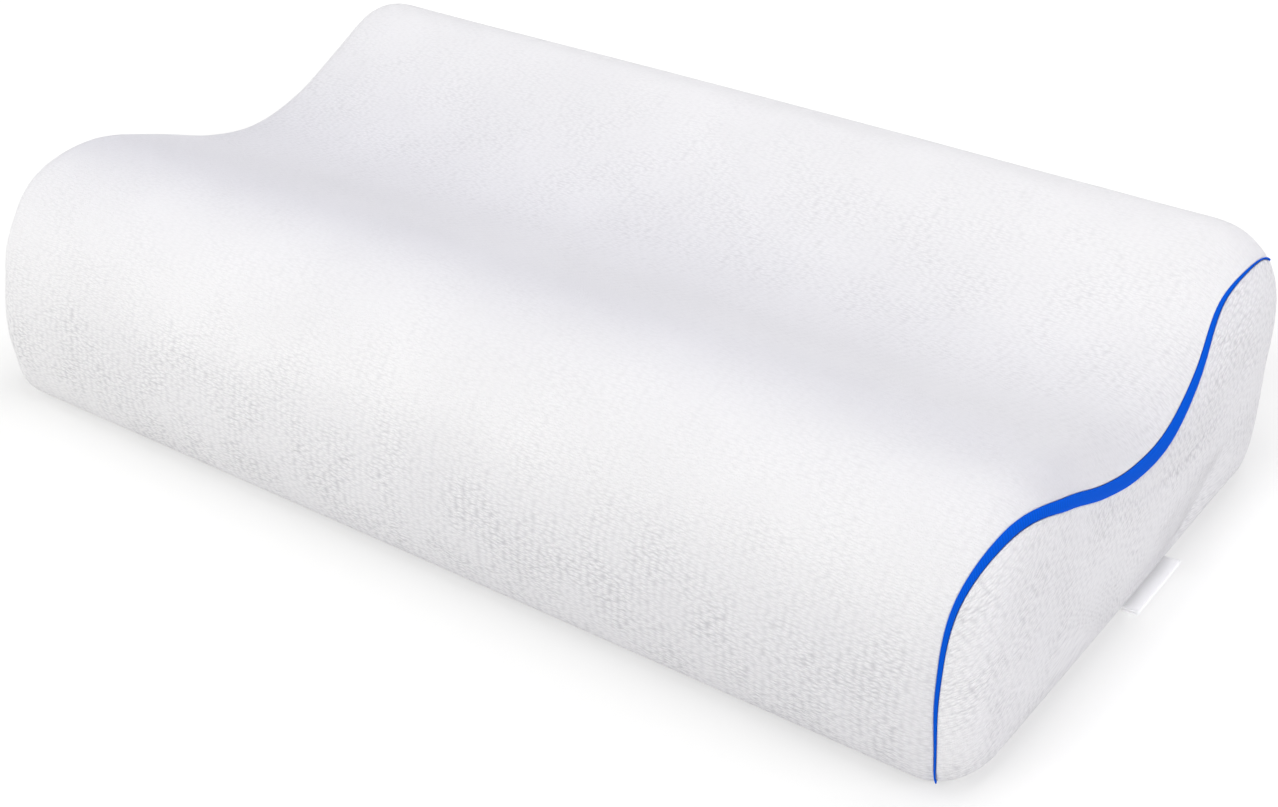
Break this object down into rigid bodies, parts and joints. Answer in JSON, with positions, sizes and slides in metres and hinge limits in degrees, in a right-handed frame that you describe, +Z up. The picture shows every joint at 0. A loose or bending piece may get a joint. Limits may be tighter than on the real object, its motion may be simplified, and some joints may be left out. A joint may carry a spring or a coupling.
{
  "type": "cervical pillow",
  "caption": "Contour neck pillow with a low front lobe, a dip and a high back lobe, knit cover, one piped end and a folded side label.",
  "frame": {"origin": "middle of the flat underside, on the surface that the pillow lies on", "axes": "+X along the pillow's length towards the piped end, +Y from the low front lobe to the high back lobe, +Z up"},
  "size_m": [0.6097, 0.357, 0.1345],
  "materials": {
    "knit_cover": "matte",
    "panel_knit": "matte",
    "blue_piping": "satin",
    "woven_label": "satin"
  },
  "bodies": {
    "root": {"pillow_body": "knit_cover", "end_panel_left": "panel_knit", "end_panel_right": "panel_knit", "seam_piping": "blue_piping", "side_label": "woven_label"}
  },
  "joints": []
}
